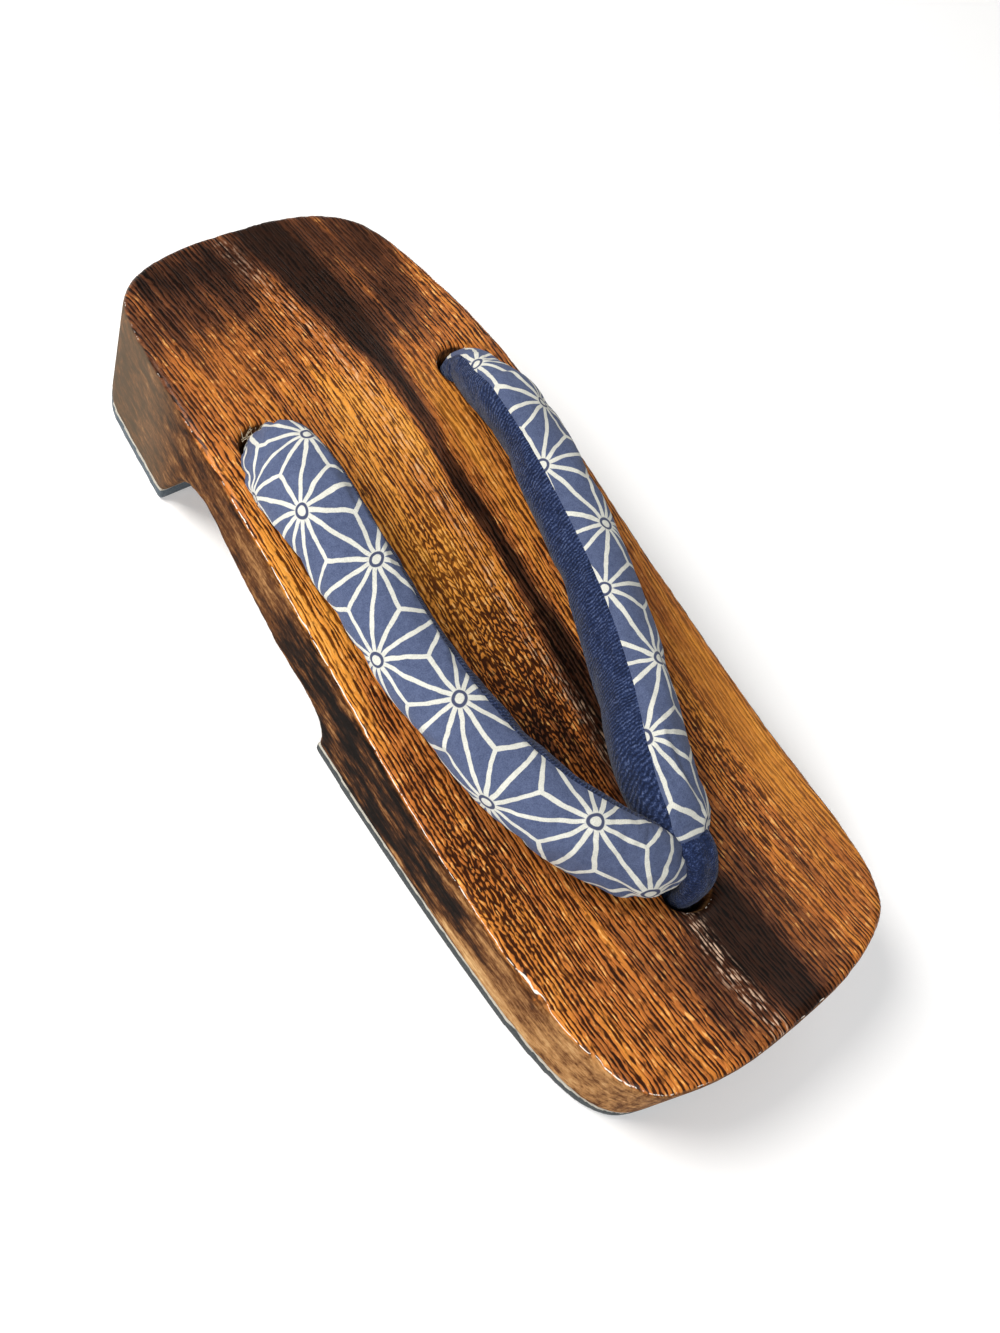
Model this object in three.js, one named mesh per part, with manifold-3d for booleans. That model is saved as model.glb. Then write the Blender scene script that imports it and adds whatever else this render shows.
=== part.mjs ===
// Geta sandal: one-piece wooden board on two blocks, rubber pads, padded strap and toe loop.
// Millimetres, +Z up, toe towards -Y, origin on the floor under the middle of the board.
import * as THREE from "three";
import { mergeVertices } from "three/addons/utils/BufferGeometryUtils.js";
import Module from "manifold-3d";

// ---- driving sizes ----
const PAD_THICK = 4.3;
const ARRIS = 1.6;
const PAD_ARRIS = 0.8;
const OUTLINE_STEPS = 104;
const CORNER_WEIGHT = 50;
const FRONT_HOLE = { x: 0, y: -85.5, r: 6.2 };
const REAR_HOLE = { x: 30.5, y: 56.8, r: 6 };
const HOLE_EASE = 0.9;
const KNOT_RECESS = { r: 11, top: 14 };
const PAD_GAP = { front: -3.2, rear: 81 };
const CLEAR = 0.3;

// half outline of the board seen from above, toe to heel
const BOARD_HALF = [
  { across: 17.5, along: -124.3 },
  { across: 30.5, along: -121.6 },
  { across: 38.6, along: -118.0 },
  { across: 43.2, along: -112.0 },
  { across: 45.8, along: -104.0 },
  { across: 47.5, along: -93.0 },
  { across: 48.3, along: -80.0 },
  { across: 48.7, along: -57.0 },
  { across: 48.4, along: -28.0 },
  { across: 47.5, along: 0.0 },
  { across: 46.9, along: 27.0 },
  { across: 45.7, along: 54.0 },
  { across: 44.0, along: 76.0 },
  { across: 41.8, along: 94.0 },
  { across: 40.2, along: 104.0 },
  { across: 37.4, along: 112.4 },
  { across: 30.4, along: 119.6 },
  { across: 17.4, along: 123.9 },
];
// the same outline at floor level: the heel block keeps squarer corners
const FOOT_HALF = [
  { across: 17.5, along: -124.3 },
  { across: 30.5, along: -121.6 },
  { across: 38.6, along: -118.0 },
  { across: 43.2, along: -112.0 },
  { across: 45.8, along: -104.0 },
  { across: 47.5, along: -93.0 },
  { across: 48.3, along: -80.0 },
  { across: 48.7, along: -57.0 },
  { across: 48.4, along: -28.0 },
  { across: 47.5, along: 0.0 },
  { across: 46.9, along: 27.0 },
  { across: 45.8, along: 54.0 },
  { across: 44.3, along: 76.0 },
  { across: 42.6, along: 94.0 },
  { across: 41.6, along: 104.5 },
  { across: 39.8, along: 114.0 },
  { across: 33.6, along: 121.8 },
  { across: 18.5, along: 124.6 },
];
const TOE_END = -125;
const HEEL_END = 125;

// height of the footbed along the board
const TOP_LINE = [
  { along: -127, height: 32.4 },
  { along: -112, height: 30.1 },
  { along: -95, height: 28.6 },
  { along: -75, height: 27.9 },
  { along: -50, height: 29.7 },
  { along: -25, height: 33.4 },
  { along: 0, height: 37.9 },
  { along: 25, height: 42.7 },
  { along: 45, height: 45.6 },
  { along: 62, height: 46.7 },
  { along: 80, height: 46.4 },
  { along: 100, height: 44.9 },
  { along: 127, height: 41.9 },
];

// side view of the arch cut through under the board
const ARCH_LINE = [
  { along: -3.2, height: 8.0 },
  { along: -2.4, height: 11.0 },
  { along: 0.2, height: 14.2 },
  { along: 5.0, height: 16.6 },
  { along: 13.0, height: 17.8 },
  { along: 23.0, height: 19.4 },
  { along: 35.0, height: 22.6 },
  { along: 46.0, height: 26.4 },
  { along: 55.0, height: 28.8 },
  { along: 61.5, height: 28.6 },
  { along: 67.0, height: 25.6 },
  { along: 71.5, height: 20.4 },
  { along: 76.0, height: 12.6 },
];

// strap arms from the rear hole to the toe loop; rise is the middle of the padding over the board,
// lean turns the printed side outwards from straight up
const RIGHT_ARM = [
  { across: 30.5, along: 56.8, rise: -6.0, wide: 5.1, thick: 5.1, lean: 60 },
  { across: 30.5, along: 56.0, rise: -2.0, wide: 5.3, thick: 5.2, lean: 56 },
  { across: 30.4, along: 53.2, rise: 1.2, wide: 6.6, thick: 5.3, lean: 54 },
  { across: 29.6, along: 48.9, rise: 4.2, wide: 8.6, thick: 5.8, lean: 52 },
  { across: 28.6, along: 43.9, rise: 6.8, wide: 9.6, thick: 6.3, lean: 50 },
  { across: 27.8, along: 37.6, rise: 10.3, wide: 10.1, thick: 7.0, lean: 48 },
  { across: 27.0, along: 32.0, rise: 12.6, wide: 10.3, thick: 7.4, lean: 46 },
  { across: 26.0, along: 18.0, rise: 13.2, wide: 10.2, thick: 8.0, lean: 48 },
  { across: 24.0, along: 3.0, rise: 13.3, wide: 10.0, thick: 8.4, lean: 52 },
  { across: 20.8, along: -13.0, rise: 13.3, wide: 9.9, thick: 8.6, lean: 57 },
  { across: 16.3, along: -29.0, rise: 13.3, wide: 10.3, thick: 8.9, lean: 61 },
  { across: 11, along: -44.0, rise: 13.2, wide: 11.5, thick: 9.5, lean: 62 },
  { across: 6, along: -56.5, rise: 12.8, wide: 12.3, thick: 9.5, lean: 60 },
  { across: 3.4, along: -65.0, rise: 12.0, wide: 12.0, thick: 9.0, lean: 56 },
  { across: 2.4, along: -72.0, rise: 10.6, wide: 10.6, thick: 7.9, lean: 50 },
  { across: 1.2, along: -77.2, rise: 8.6, wide: 7.6, thick: 5.8, lean: 48 },
  { across: -1.2, along: -79.8, rise: 7.0, wide: 4.0, thick: 3.6, lean: 46 },
];
const LEFT_ARM = [
  { across: 30.5, along: 56.7, rise: -6.0, wide: 4.9, thick: 4.9, lean: 60 },
  { across: 30.7, along: 56.1, rise: -1.6, wide: 5.2, thick: 5.0, lean: 58 },
  { across: 31.9, along: 53.9, rise: 1.8, wide: 7.4, thick: 5.4, lean: 55 },
  { across: 32.7, along: 50.3, rise: 4.8, wide: 9.8, thick: 6.0, lean: 51 },
  { across: 33.1, along: 45.5, rise: 7.4, wide: 10.9, thick: 6.6, lean: 49 },
  { across: 33.7, along: 38.6, rise: 10.2, wide: 10.9, thick: 7.0, lean: 47 },
  { across: 34.3, along: 28.0, rise: 12.9, wide: 10.3, thick: 7.5, lean: 46 },
  { across: 34.1, along: 12.0, rise: 13.2, wide: 10.0, thick: 8.0, lean: 51 },
  { across: 33.8, along: -4.0, rise: 13.2, wide: 9.8, thick: 8.2, lean: 58 },
  { across: 32.7, along: -20.0, rise: 13.2, wide: 9.8, thick: 8.2, lean: 63 },
  { across: 30.3, along: -36.0, rise: 13.3, wide: 10.0, thick: 8.2, lean: 66 },
  { across: 26.4, along: -50.0, rise: 13.4, wide: 10.3, thick: 8.3, lean: 66 },
  { across: 21.4, along: -61.5, rise: 13.0, wide: 10.5, thick: 8.3, lean: 62 },
  { across: 16.0, along: -70.0, rise: 12.0, wide: 10.2, thick: 8.0, lean: 56 },
  { across: 10.6, along: -76.0, rise: 10.6, wide: 9.2, thick: 7.0, lean: 51 },
  { across: 5.6, along: -79.2, rise: 8.8, wide: 6.4, thick: 5.0, lean: 48 },
  { across: 0.5, along: -80.4, rise: 7.0, wide: 3.6, thick: 3.2, lean: 46 },
];
const ARM_STEPS = 42;
const ARM_SIDES = 18;
const NECK = { r: 4.9, bottom: 25.5 };
const REAR_KNOT = { r: 7.2, flat: 0.62, z: 23.0 };

// toe loop in the middle plane, up in front of the straps, over and down behind;
// slot is how far its groove in the straps is cleared outwards
const LOOP_LINE = [
  { along: -86.6, height: 22.0, wide: 4.8, thick: 2.9, slot: 14 },
  { along: -86.9, height: 27.0, wide: 5.0, thick: 3.0, slot: 14 },
  { along: -86.8, height: 31.0, wide: 5.0, thick: 3.1, slot: 14 },
  { along: -85.9, height: 34.4, wide: 4.9, thick: 3.0, slot: 14 },
  { along: -84.2, height: 37.8, wide: 4.7, thick: 2.8, slot: 14 },
  { along: -82.4, height: 40.6, wide: 4.6, thick: 2.6, slot: 14 },
  { along: -79.6, height: 42.2, wide: 4.7, thick: 2.4, slot: 14 },
  { along: -76.9, height: 41.6, wide: 4.5, thick: 2.1, slot: 9 },
  { along: -75.2, height: 39.4, wide: 3.9, thick: 1.9, slot: 4 },
  { along: -75.6, height: 36.0, wide: 3.3, thick: 1.8, slot: 2.6 },
  { along: -77.6, height: 32.6, wide: 3.1, thick: 1.8, slot: 2.4 },
  { along: -80.4, height: 29.2, wide: 3.1, thick: 1.8, slot: 2.4 },
  { along: -82.0, height: 25.6, wide: 3.1, thick: 1.8, slot: 2.4 },
  { along: -82.8, height: 22.0, wide: 3.1, thick: 1.8, slot: 2.4 },
];
const LOOP_STEPS = 44;
const LOOP_SIDES = 14;
const LOOP_STEM = { r: 5.2, top: 25.5, bottom: 9 };
const FRONT_KNOT = { r: 8.2, flat: 0.6, z: 8.2 };

// ---- helpers ----
const wasm = await Module();
wasm.setup();

// smooth reading of one column of a table against another
function column(table, key, by) {
  const points = table.map((row) => new THREE.Vector3(row[by], row[key], 0));
  const curve = new THREE.CatmullRomCurve3(points, false, "centripetal");
  const samples = curve.getPoints(table.length * 12);
  return (at) => {
    const rising = samples[0].x < samples[samples.length - 1].x;
    const line = rising ? samples : [...samples].reverse();
    let i = 1;
    while (i < line.length - 1 && line[i].x < at) i += 1;
    const a = line[i - 1];
    const b = line[i];
    const t = THREE.MathUtils.clamp((at - a.x) / (b.x - a.x || 1), 0, 1);
    return a.y + (b.y - a.y) * t;
  };
}

const topAt = column(TOP_LINE, "height", "along");

// closed outline from a half table, starting at the toe and running up the right-hand side
function outlineRing(half) {
  const knots = [new THREE.Vector3(0, TOE_END, 0)];
  half.forEach((row) => knots.push(new THREE.Vector3(row.across, row.along, 0)));
  knots.push(new THREE.Vector3(0, HEEL_END, 0));
  [...half].reverse().forEach((row) => knots.push(new THREE.Vector3(-row.across, row.along, 0)));
  const curve = new THREE.CatmullRomCurve3(knots, true, "centripetal");
  const right = [];
  const steps = OUTLINE_STEPS / 2;
  const line = curve.getPoints(OUTLINE_STEPS * 8);
  const halfway = OUTLINE_STEPS * 4;
  // the steps lie closer together where the outline turns
  const dist = [0];
  for (let i = 1; i <= halfway; i += 1) {
    const run = new THREE.Vector3().subVectors(line[i], line[i - 1]);
    const next = new THREE.Vector3().subVectors(line[(i + 1) % line.length], line[i]);
    dist.push(dist[i - 1] + run.length() + CORNER_WEIGHT * run.angleTo(next));
  }
  for (let k = 0; k <= steps; k += 1) {
    const want = (dist[halfway] * k) / steps;
    let i = 1;
    while (i < halfway && dist[i] < want) i += 1;
    const t = (want - dist[i - 1]) / (dist[i] - dist[i - 1]);
    right.push(new THREE.Vector3().lerpVectors(line[i - 1], line[i], t));
  }
  right[0].x = 0;
  right[steps].x = 0;
  const left = right.slice(1, steps).reverse();
  return [...right, ...left.map((p) => new THREE.Vector3(-p.x, p.y, 0))];
}

// the same ring drawn in by a distance square to itself
function insetRing(ring, by) {
  const n = ring.length;
  return ring.map((p, i) => {
    const ahead = ring[(i + 1) % n];
    const behind = ring[(i + n - 1) % n];
    const run = new THREE.Vector3().subVectors(ahead, behind).normalize();
    return new THREE.Vector3(p.x - run.y * by, p.y + run.x * by, p.z);
  });
}

function facesOut(positions, index) {
  let six = 0;
  const v = (k) => new THREE.Vector3(positions[k * 3], positions[k * 3 + 1], positions[k * 3 + 2]);
  for (let i = 0; i < index.length; i += 3) {
    six += v(index[i]).dot(v(index[i + 1]).cross(v(index[i + 2])));
  }
  if (six < 0) {
    for (let i = 0; i < index.length; i += 3) {
      const keep = index[i + 1];
      index[i + 1] = index[i + 2];
      index[i + 2] = keep;
    }
  }
  const geometry = new THREE.BufferGeometry();
  geometry.setAttribute("position", new THREE.Float32BufferAttribute(positions, 3));
  geometry.setIndex(index);
  return geometry;
}

// skin a stack of rings; each end is closed with a fan, or with flat rows across for an outline
function loft(rings, rowsOnTop = false) {
  const n = rings[0].length;
  const positions = [];
  const index = [];
  rings.forEach((ring) => ring.forEach((p) => positions.push(p.x, p.y, p.z)));
  for (let r = 0; r + 1 < rings.length; r += 1) {
    for (let i = 0; i < n; i += 1) {
      const j = (i + 1) % n;
      const a = r * n + i;
      const b = r * n + j;
      const c = (r + 1) * n + j;
      const d = (r + 1) * n + i;
      index.push(a, b, c, a, c, d);
    }
  }
  const fan = (start, turned) => {
    const middle = new THREE.Vector3();
    const ring = rings[start / n];
    ring.forEach((p) => middle.add(p));
    middle.divideScalar(n);
    positions.push(middle.x, middle.y, middle.z);
    const hub = positions.length / 3 - 1;
    for (let i = 0; i < n; i += 1) {
      const j = (i + 1) % n;
      if (turned) index.push(start + j, start + i, hub);
      else index.push(start + i, start + j, hub);
    }
  };
  fan(0, true);
  const last = (rings.length - 1) * n;
  if (rowsOnTop) {
    const half = n / 2;
    index.push(last, last + 1, last + n - 1);
    for (let i = 1; i < half - 1; i += 1) {
      const a = last + i;
      const b = last + i + 1;
      const c = last + n - i - 1;
      const d = last + n - i;
      index.push(a, b, c, a, c, d);
    }
    index.push(last + half - 1, last + half, last + half + 1);
  } else {
    fan(last, false);
  }
  return facesOut(positions, index);
}

function solid(geometry) {
  const bare = geometry.clone();
  bare.deleteAttribute("normal");
  bare.deleteAttribute("uv");
  const merged = mergeVertices(bare, 1e-4);
  const triVerts = new Uint32Array(merged.index.array);
  const vertProperties = new Float32Array(merged.attributes.position.array);
  return new wasm.Manifold(new wasm.Mesh({ numProp: 3, vertProperties, triVerts }));
}

function geometryOf(body) {
  const mesh = body.getMesh();
  const geometry = new THREE.BufferGeometry();
  const positions = new Float32Array(mesh.numVert * 3);
  for (let i = 0; i < mesh.numVert; i += 1) {
    for (let k = 0; k < 3; k += 1) positions[i * 3 + k] = mesh.vertProperties[i * mesh.numProp + k];
  }
  geometry.setAttribute("position", new THREE.BufferAttribute(positions, 3));
  geometry.setIndex([...mesh.triVerts]);
  return geometry;
}

function boxBetween(x0, x1, y0, y1, z0, z1) {
  const box = new THREE.BoxGeometry(x1 - x0, y1 - y0, z1 - z0);
  return box.translate((x0 + x1) / 2, (y0 + y1) / 2, (z0 + z1) / 2);
}

function roundPost(r, bottom, top, x, y, sides = 28) {
  const post = new THREE.CylinderGeometry(r, r, top - bottom, sides);
  return post.rotateX(Math.PI / 2).translate(x, y, (top + bottom) / 2);
}

function knot(size, x, y) {
  const ball = new THREE.SphereGeometry(size.r, 20, 12);
  return ball.rotateX(Math.PI / 2).scale(1, 1, size.flat).translate(x, y, size.z);
}

// hole cutter with an eased mouth at the footbed
function holeCutter(hole, bottom) {
  const mouth = topAt(hole.y);
  const profile = [
    new THREE.Vector2(0, bottom),
    new THREE.Vector2(hole.r, bottom),
    new THREE.Vector2(hole.r, mouth - HOLE_EASE - 0.2),
    new THREE.Vector2(hole.r + HOLE_EASE, mouth + 0.1),
    new THREE.Vector2(hole.r + HOLE_EASE, mouth + 6),
    new THREE.Vector2(0, mouth + 6),
  ];
  return new THREE.LatheGeometry(profile, 32).rotateX(Math.PI / 2).translate(hole.x, hole.y, 0);
}

// ---- board ----
const boardRing = outlineRing(BOARD_HALF);
const footRing = outlineRing(FOOT_HALF);
const onTop = (ring, drop) => ring.map((p) => new THREE.Vector3(p.x, p.y, topAt(p.y) - drop));
const onFloor = (ring, z) => ring.map((p) => new THREE.Vector3(p.x, p.y, z));

const boardBlank = loft(
  [
    onFloor(footRing, PAD_THICK),
    onTop(boardRing, ARRIS),
    onTop(insetRing(boardRing, ARRIS * 0.134), ARRIS * 0.5),
    onTop(insetRing(boardRing, ARRIS * 0.5), ARRIS * 0.134),
    onTop(insetRing(boardRing, ARRIS), 0),
  ],
  true,
);

const archShape = new THREE.Shape();
archShape.moveTo(PAD_GAP.front, -3);
archShape.lineTo(ARCH_LINE[0].along, ARCH_LINE[0].height);
archShape.splineThru(ARCH_LINE.slice(1).map((row) => new THREE.Vector2(row.along, row.height)));
archShape.lineTo(PAD_GAP.rear, PAD_THICK);
archShape.lineTo(PAD_GAP.rear, -3);
archShape.closePath();
const archCut = new THREE.ExtrudeGeometry(archShape, { depth: 120, bevelEnabled: false, curveSegments: 34 });
// the shape's x is along, y is height, and the extrusion runs across
archCut.applyMatrix4(new THREE.Matrix4().makeBasis(
  new THREE.Vector3(0, 1, 0),
  new THREE.Vector3(0, 0, 1),
  new THREE.Vector3(1, 0, 0),
));
archCut.translate(-60, 0, 0);

const recessPost = roundPost(KNOT_RECESS.r, -2, KNOT_RECESS.top, FRONT_HOLE.x, FRONT_HOLE.y, 36);
const board = solid(boardBlank)
  .subtract(solid(archCut))
  .subtract(solid(holeCutter(FRONT_HOLE, KNOT_RECESS.top - 1)))
  .subtract(solid(recessPost))
  .subtract(solid(holeCutter(REAR_HOLE, 2)))
  .subtract(solid(holeCutter({ ...REAR_HOLE, x: -REAR_HOLE.x }, 2)));

// ---- rubber pads ----
const padBlank = solid(
  loft([
    onFloor(insetRing(footRing, PAD_ARRIS), 0),
    onFloor(footRing, PAD_ARRIS),
    onFloor(footRing, PAD_THICK),
  ]),
);
const frontPad = padBlank
  .intersect(solid(boxBetween(-70, 70, -140, PAD_GAP.front, -1, PAD_THICK + 1)))
  .subtract(solid(recessPost));
const rearPad = padBlank.intersect(solid(boxBetween(-70, 70, PAD_GAP.rear, 140, -1, PAD_THICK + 1)));

// ---- strap ----
const UP = new THREE.Vector3(0, 0, 1);

function armRings(table, side) {
  const keys = ["across", "along", "rise", "wide", "thick", "lean"];
  const at = {};
  keys.forEach((key) => {
    const line = table.map((row, i) => new THREE.Vector3(i, row[key], 0));
    at[key] = new THREE.CatmullRomCurve3(line, false, "centripetal");
  });
  const point = (t) => {
    const y = at.along.getPoint(t).y;
    return new THREE.Vector3(side * at.across.getPoint(t).y, y, topAt(y) + at.rise.getPoint(t).y);
  };
  const rings = [];
  const section = (t, scale, push) => {
    const here = point(t);
    const run = new THREE.Vector3().subVectors(
      point(Math.min(t + 0.004, 1)),
      point(Math.max(t - 0.004, 0)),
    ).normalize();
    const out = new THREE.Vector3().crossVectors(run, UP).normalize();
    if (out.x * side < 0) out.negate();
    const lift = new THREE.Vector3().crossVectors(out, run);
    if (lift.z < 0) lift.negate();
    const lean = THREE.MathUtils.degToRad(at.lean.getPoint(t).y);
    const face = out.clone().multiplyScalar(Math.sin(lean)).addScaledVector(lift, Math.cos(lean));
    const edge = lift.clone().multiplyScalar(Math.sin(lean)).addScaledVector(out, -Math.cos(lean));
    const wide = at.wide.getPoint(t).y * scale;
    const thick = at.thick.getPoint(t).y * scale;
    const ring = [];
    for (let i = 0; i < ARM_SIDES; i += 1) {
      const turn = (i / ARM_SIDES) * Math.PI * 2;
      ring.push(
        here.clone()
          .addScaledVector(run, push)
          .addScaledVector(edge, wide * Math.cos(turn) * side)
          .addScaledVector(face, thick * Math.sin(turn)),
      );
    }
    return ring;
  };
  for (let k = 0; k <= ARM_STEPS; k += 1) rings.push(section(k / ARM_STEPS, 1, 0));
  const end = table[table.length - 1].thick;
  rings.push(section(1, 0.72, end * 0.5));
  return rings;
}

function tail(side) {
  const x = side * REAR_HOLE.x;
  const neck = solid(roundPost(NECK.r, NECK.bottom, topAt(REAR_HOLE.y) - 4, x, REAR_HOLE.y, 24));
  return neck.add(solid(knot(REAR_KNOT, x, REAR_HOLE.y)));
}

// ---- toe loop ----
function loopRings(grow, slotted) {
  const read = (key) => {
    const line = LOOP_LINE.map((row, i) => new THREE.Vector3(i, row[key], 0));
    const curve = new THREE.CatmullRomCurve3(line, false, "centripetal");
    return (t) => curve.getPoint(t).y;
  };
  const along = read("along");
  const height = read("height");
  const wide = read("wide");
  const thick = read("thick");
  const slot = read("slot");
  const rings = [];
  for (let k = 0; k <= LOOP_STEPS; k += 1) {
    const t = k / LOOP_STEPS;
    const a = Math.max(t - 0.01, 0);
    const b = Math.min(t + 0.01, 1);
    const run = new THREE.Vector3(0, along(b) - along(a), height(b) - height(a)).normalize();
    // outwards from the straps it holds
    const out = new THREE.Vector3(0, -run.z, run.y);
    const here = new THREE.Vector3(0, along(t), height(t));
    const ring = [];
    const w = wide(t) + grow;
    const h = thick(t) + grow;
    if (slotted) {
      const reach = slot(t);
      const corners = [
        [-w, -h],
        [w, -h],
        [w, reach],
        [-w, reach],
      ];
      corners.forEach(([x, n]) => ring.push(here.clone().addScaledVector(out, n).setX(x)));
    } else {
      for (let i = 0; i < LOOP_SIDES; i += 1) {
        const turn = (i / LOOP_SIDES) * Math.PI * 2;
        const cos = Math.cos(turn);
        const sin = Math.sin(turn);
        const x = w * Math.sign(cos) * Math.abs(cos) ** 0.8;
        const n = h * Math.sign(sin) * Math.abs(sin) ** 0.8;
        ring.push(here.clone().addScaledVector(out, n).setX(x));
      }
    }
    rings.push(ring);
  }
  return rings;
}

const loop = solid(loft(loopRings(0, false)))
  .add(solid(roundPost(LOOP_STEM.r, LOOP_STEM.bottom, LOOP_STEM.top, FRONT_HOLE.x, FRONT_HOLE.y, 24)))
  .add(solid(knot(FRONT_KNOT, FRONT_HOLE.x, FRONT_HOLE.y)));

// the strap gives way where the loop pinches it
const overBoard = solid(boxBetween(-12, 12, -110, -60, 26, 70));
const pinch = solid(loft(loopRings(CLEAR, true))).intersect(overBoard);
// and its padding is squeezed flat where the ends dip into the rear holes
const squeeze = board.translate([0, 0, CLEAR]);
const strap = solid(loft(armRings(RIGHT_ARM, 1)))
  .add(solid(loft(armRings(LEFT_ARM, -1))))
  .subtract(pinch)
  .subtract(squeeze)
  .add(tail(1))
  .add(tail(-1));

// ---- assembly ----
const group = new THREE.Group();
group.name = "geta_sandal";

function place(name, body, color, roughness) {
  const material = new THREE.MeshStandardMaterial({ color, roughness, metalness: 0 });
  const mesh = new THREE.Mesh(geometryOf(body), material);
  mesh.name = name;
  group.add(mesh);
}

place("wooden_base", board, 0x8a4f1f, 0.45);
place("heel_sole", rearPad, 0x3b4147, 0.85);
place("forefoot_sole", frontPad, 0x2c3034, 0.85);
place("strap", strap, 0x505f91, 0.9);
place("toe_loop", loop, 0x26345c, 0.95);

export default group;
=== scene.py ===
import math

import bpy
import numpy as np
from mathutils import Matrix, Vector, noise
from mathutils.bvhtree import BVHTree


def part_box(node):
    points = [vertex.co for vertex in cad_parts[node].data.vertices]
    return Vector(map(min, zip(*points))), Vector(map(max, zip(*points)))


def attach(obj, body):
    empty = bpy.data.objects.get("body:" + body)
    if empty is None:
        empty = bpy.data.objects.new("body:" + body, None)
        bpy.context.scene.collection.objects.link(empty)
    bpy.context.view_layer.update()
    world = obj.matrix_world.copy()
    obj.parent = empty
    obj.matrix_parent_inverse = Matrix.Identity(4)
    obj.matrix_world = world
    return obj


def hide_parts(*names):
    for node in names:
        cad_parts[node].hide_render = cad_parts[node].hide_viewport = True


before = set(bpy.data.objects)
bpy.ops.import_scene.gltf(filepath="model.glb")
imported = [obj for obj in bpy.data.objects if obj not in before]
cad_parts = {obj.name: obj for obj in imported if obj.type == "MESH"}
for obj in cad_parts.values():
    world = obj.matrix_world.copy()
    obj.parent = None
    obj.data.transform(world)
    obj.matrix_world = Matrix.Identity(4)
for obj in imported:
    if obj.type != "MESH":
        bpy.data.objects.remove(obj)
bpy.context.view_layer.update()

MM = 0.001
UP = Vector((0, 0, 1))

# ---- sizes of the sandal, from the frame ----
BOARD_LOW, BOARD_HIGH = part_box("wooden_base")
PAD_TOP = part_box("forefoot_sole")[1].z
TOE_Y = BOARD_LOW.y
HEEL_Y = BOARD_HIGH.y
REAR_HOLE = Vector((30.5, 56.8)) * MM
FRONT_HOLE = Vector((0.0, -85.5)) * MM

# strap arms from the rear hole to the toe loop, in millimetres: across, along, rise, wide, thick, lean;
# rise is the middle of the padding over the board, lean turns the printed side outwards from straight up
RIGHT_ARM = (
    (30.5, 56.8, -6.0, 5.1, 5.1, 60),
    (30.5, 56.0, -2.0, 5.3, 5.2, 56),
    (30.4, 53.2, 1.2, 6.6, 5.3, 54),
    (29.6, 48.9, 4.2, 8.6, 5.8, 52),
    (28.6, 43.9, 6.8, 9.6, 6.3, 50),
    (27.8, 37.6, 10.3, 10.1, 7.0, 48),
    (27.0, 32.0, 12.6, 10.3, 7.4, 46),
    (26.0, 18.0, 13.2, 10.2, 8.0, 48),
    (24.0, 3.0, 13.3, 10.0, 8.4, 52),
    (20.8, -13.0, 13.3, 9.9, 8.6, 57),
    (16.3, -29.0, 13.3, 10.3, 8.9, 61),
    (11.0, -44.0, 13.2, 11.5, 9.5, 62),
    (6.0, -56.5, 12.8, 12.3, 9.5, 60),
    (3.4, -65.0, 12.0, 12.0, 9.0, 56),
    (2.4, -72.0, 10.6, 10.6, 7.9, 50),
    (1.2, -77.2, 8.6, 7.6, 5.8, 48),
    (-1.2, -79.8, 7.0, 4.0, 3.6, 46),
)
LEFT_ARM = (
    (30.5, 56.7, -6.0, 4.9, 4.9, 60),
    (30.7, 56.1, -1.6, 5.2, 5.0, 58),
    (31.9, 53.9, 1.8, 7.4, 5.4, 55),
    (32.7, 50.3, 4.8, 9.8, 6.0, 51),
    (33.1, 45.5, 7.4, 10.9, 6.6, 49),
    (33.7, 38.6, 10.2, 10.9, 7.0, 47),
    (34.3, 28.0, 12.9, 10.3, 7.5, 46),
    (34.1, 12.0, 13.2, 10.0, 8.0, 51),
    (33.8, -4.0, 13.2, 9.8, 8.2, 58),
    (32.7, -20.0, 13.2, 9.8, 8.2, 63),
    (30.3, -36.0, 13.3, 10.0, 8.2, 66),
    (26.4, -50.0, 13.4, 10.3, 8.3, 66),
    (21.4, -61.5, 13.0, 10.5, 8.3, 62),
    (16.0, -70.0, 12.0, 10.2, 8.0, 56),
    (10.6, -76.0, 10.6, 9.2, 7.0, 51),
    (5.6, -79.2, 8.8, 6.4, 5.0, 48),
    (0.5, -80.4, 7.0, 3.6, 3.2, 46),
)

# toe loop in the middle plane, up in front of the straps, over and down behind, in millimetres:
# along, height, wide, thick
LOOP_LINE = (
    (-86.6, 22.0, 4.8, 2.9),
    (-86.9, 27.0, 5.0, 3.0),
    (-86.8, 31.0, 5.0, 3.1),
    (-85.9, 34.4, 4.9, 3.0),
    (-84.2, 37.8, 4.7, 2.8),
    (-82.4, 40.6, 4.6, 2.6),
    (-79.6, 42.2, 4.7, 2.4),
    (-76.9, 41.6, 4.5, 2.1),
    (-75.2, 39.4, 3.9, 1.9),
    (-75.6, 36.0, 3.3, 1.8),
    (-77.6, 32.6, 3.1, 1.8),
    (-80.4, 29.2, 3.1, 1.8),
    (-82.0, 25.6, 3.1, 1.8),
    (-82.8, 22.0, 3.1, 1.8),
)


# ---- camera, floor and light ----
CAMERA_PLACE = (-147.74, -84.79, 280.29)
CAMERA_LOOK = (0.44333, 0.24347, -0.86266)
CAMERA_UP = (0.43804, 0.78081, 0.44549)


def add_camera():
    line_of_sight = Vector(CAMERA_LOOK).normalized()
    right = line_of_sight.cross(Vector(CAMERA_UP)).normalized()
    up = right.cross(line_of_sight)
    data = bpy.data.cameras.new("studio_camera")
    data.sensor_width = 36.0
    data.lens = 32.1
    data.shift_x = 0.0349
    data.shift_y = 0.0119
    data.clip_start = 0.01
    camera = bpy.data.objects.new("studio_camera", data)
    bpy.context.scene.collection.objects.link(camera)
    turn = Matrix((right, up, -line_of_sight)).transposed().to_4x4()
    camera.matrix_world = Matrix.Translation(Vector(CAMERA_PLACE) * MM) @ turn
    bpy.context.scene.camera = camera


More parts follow.
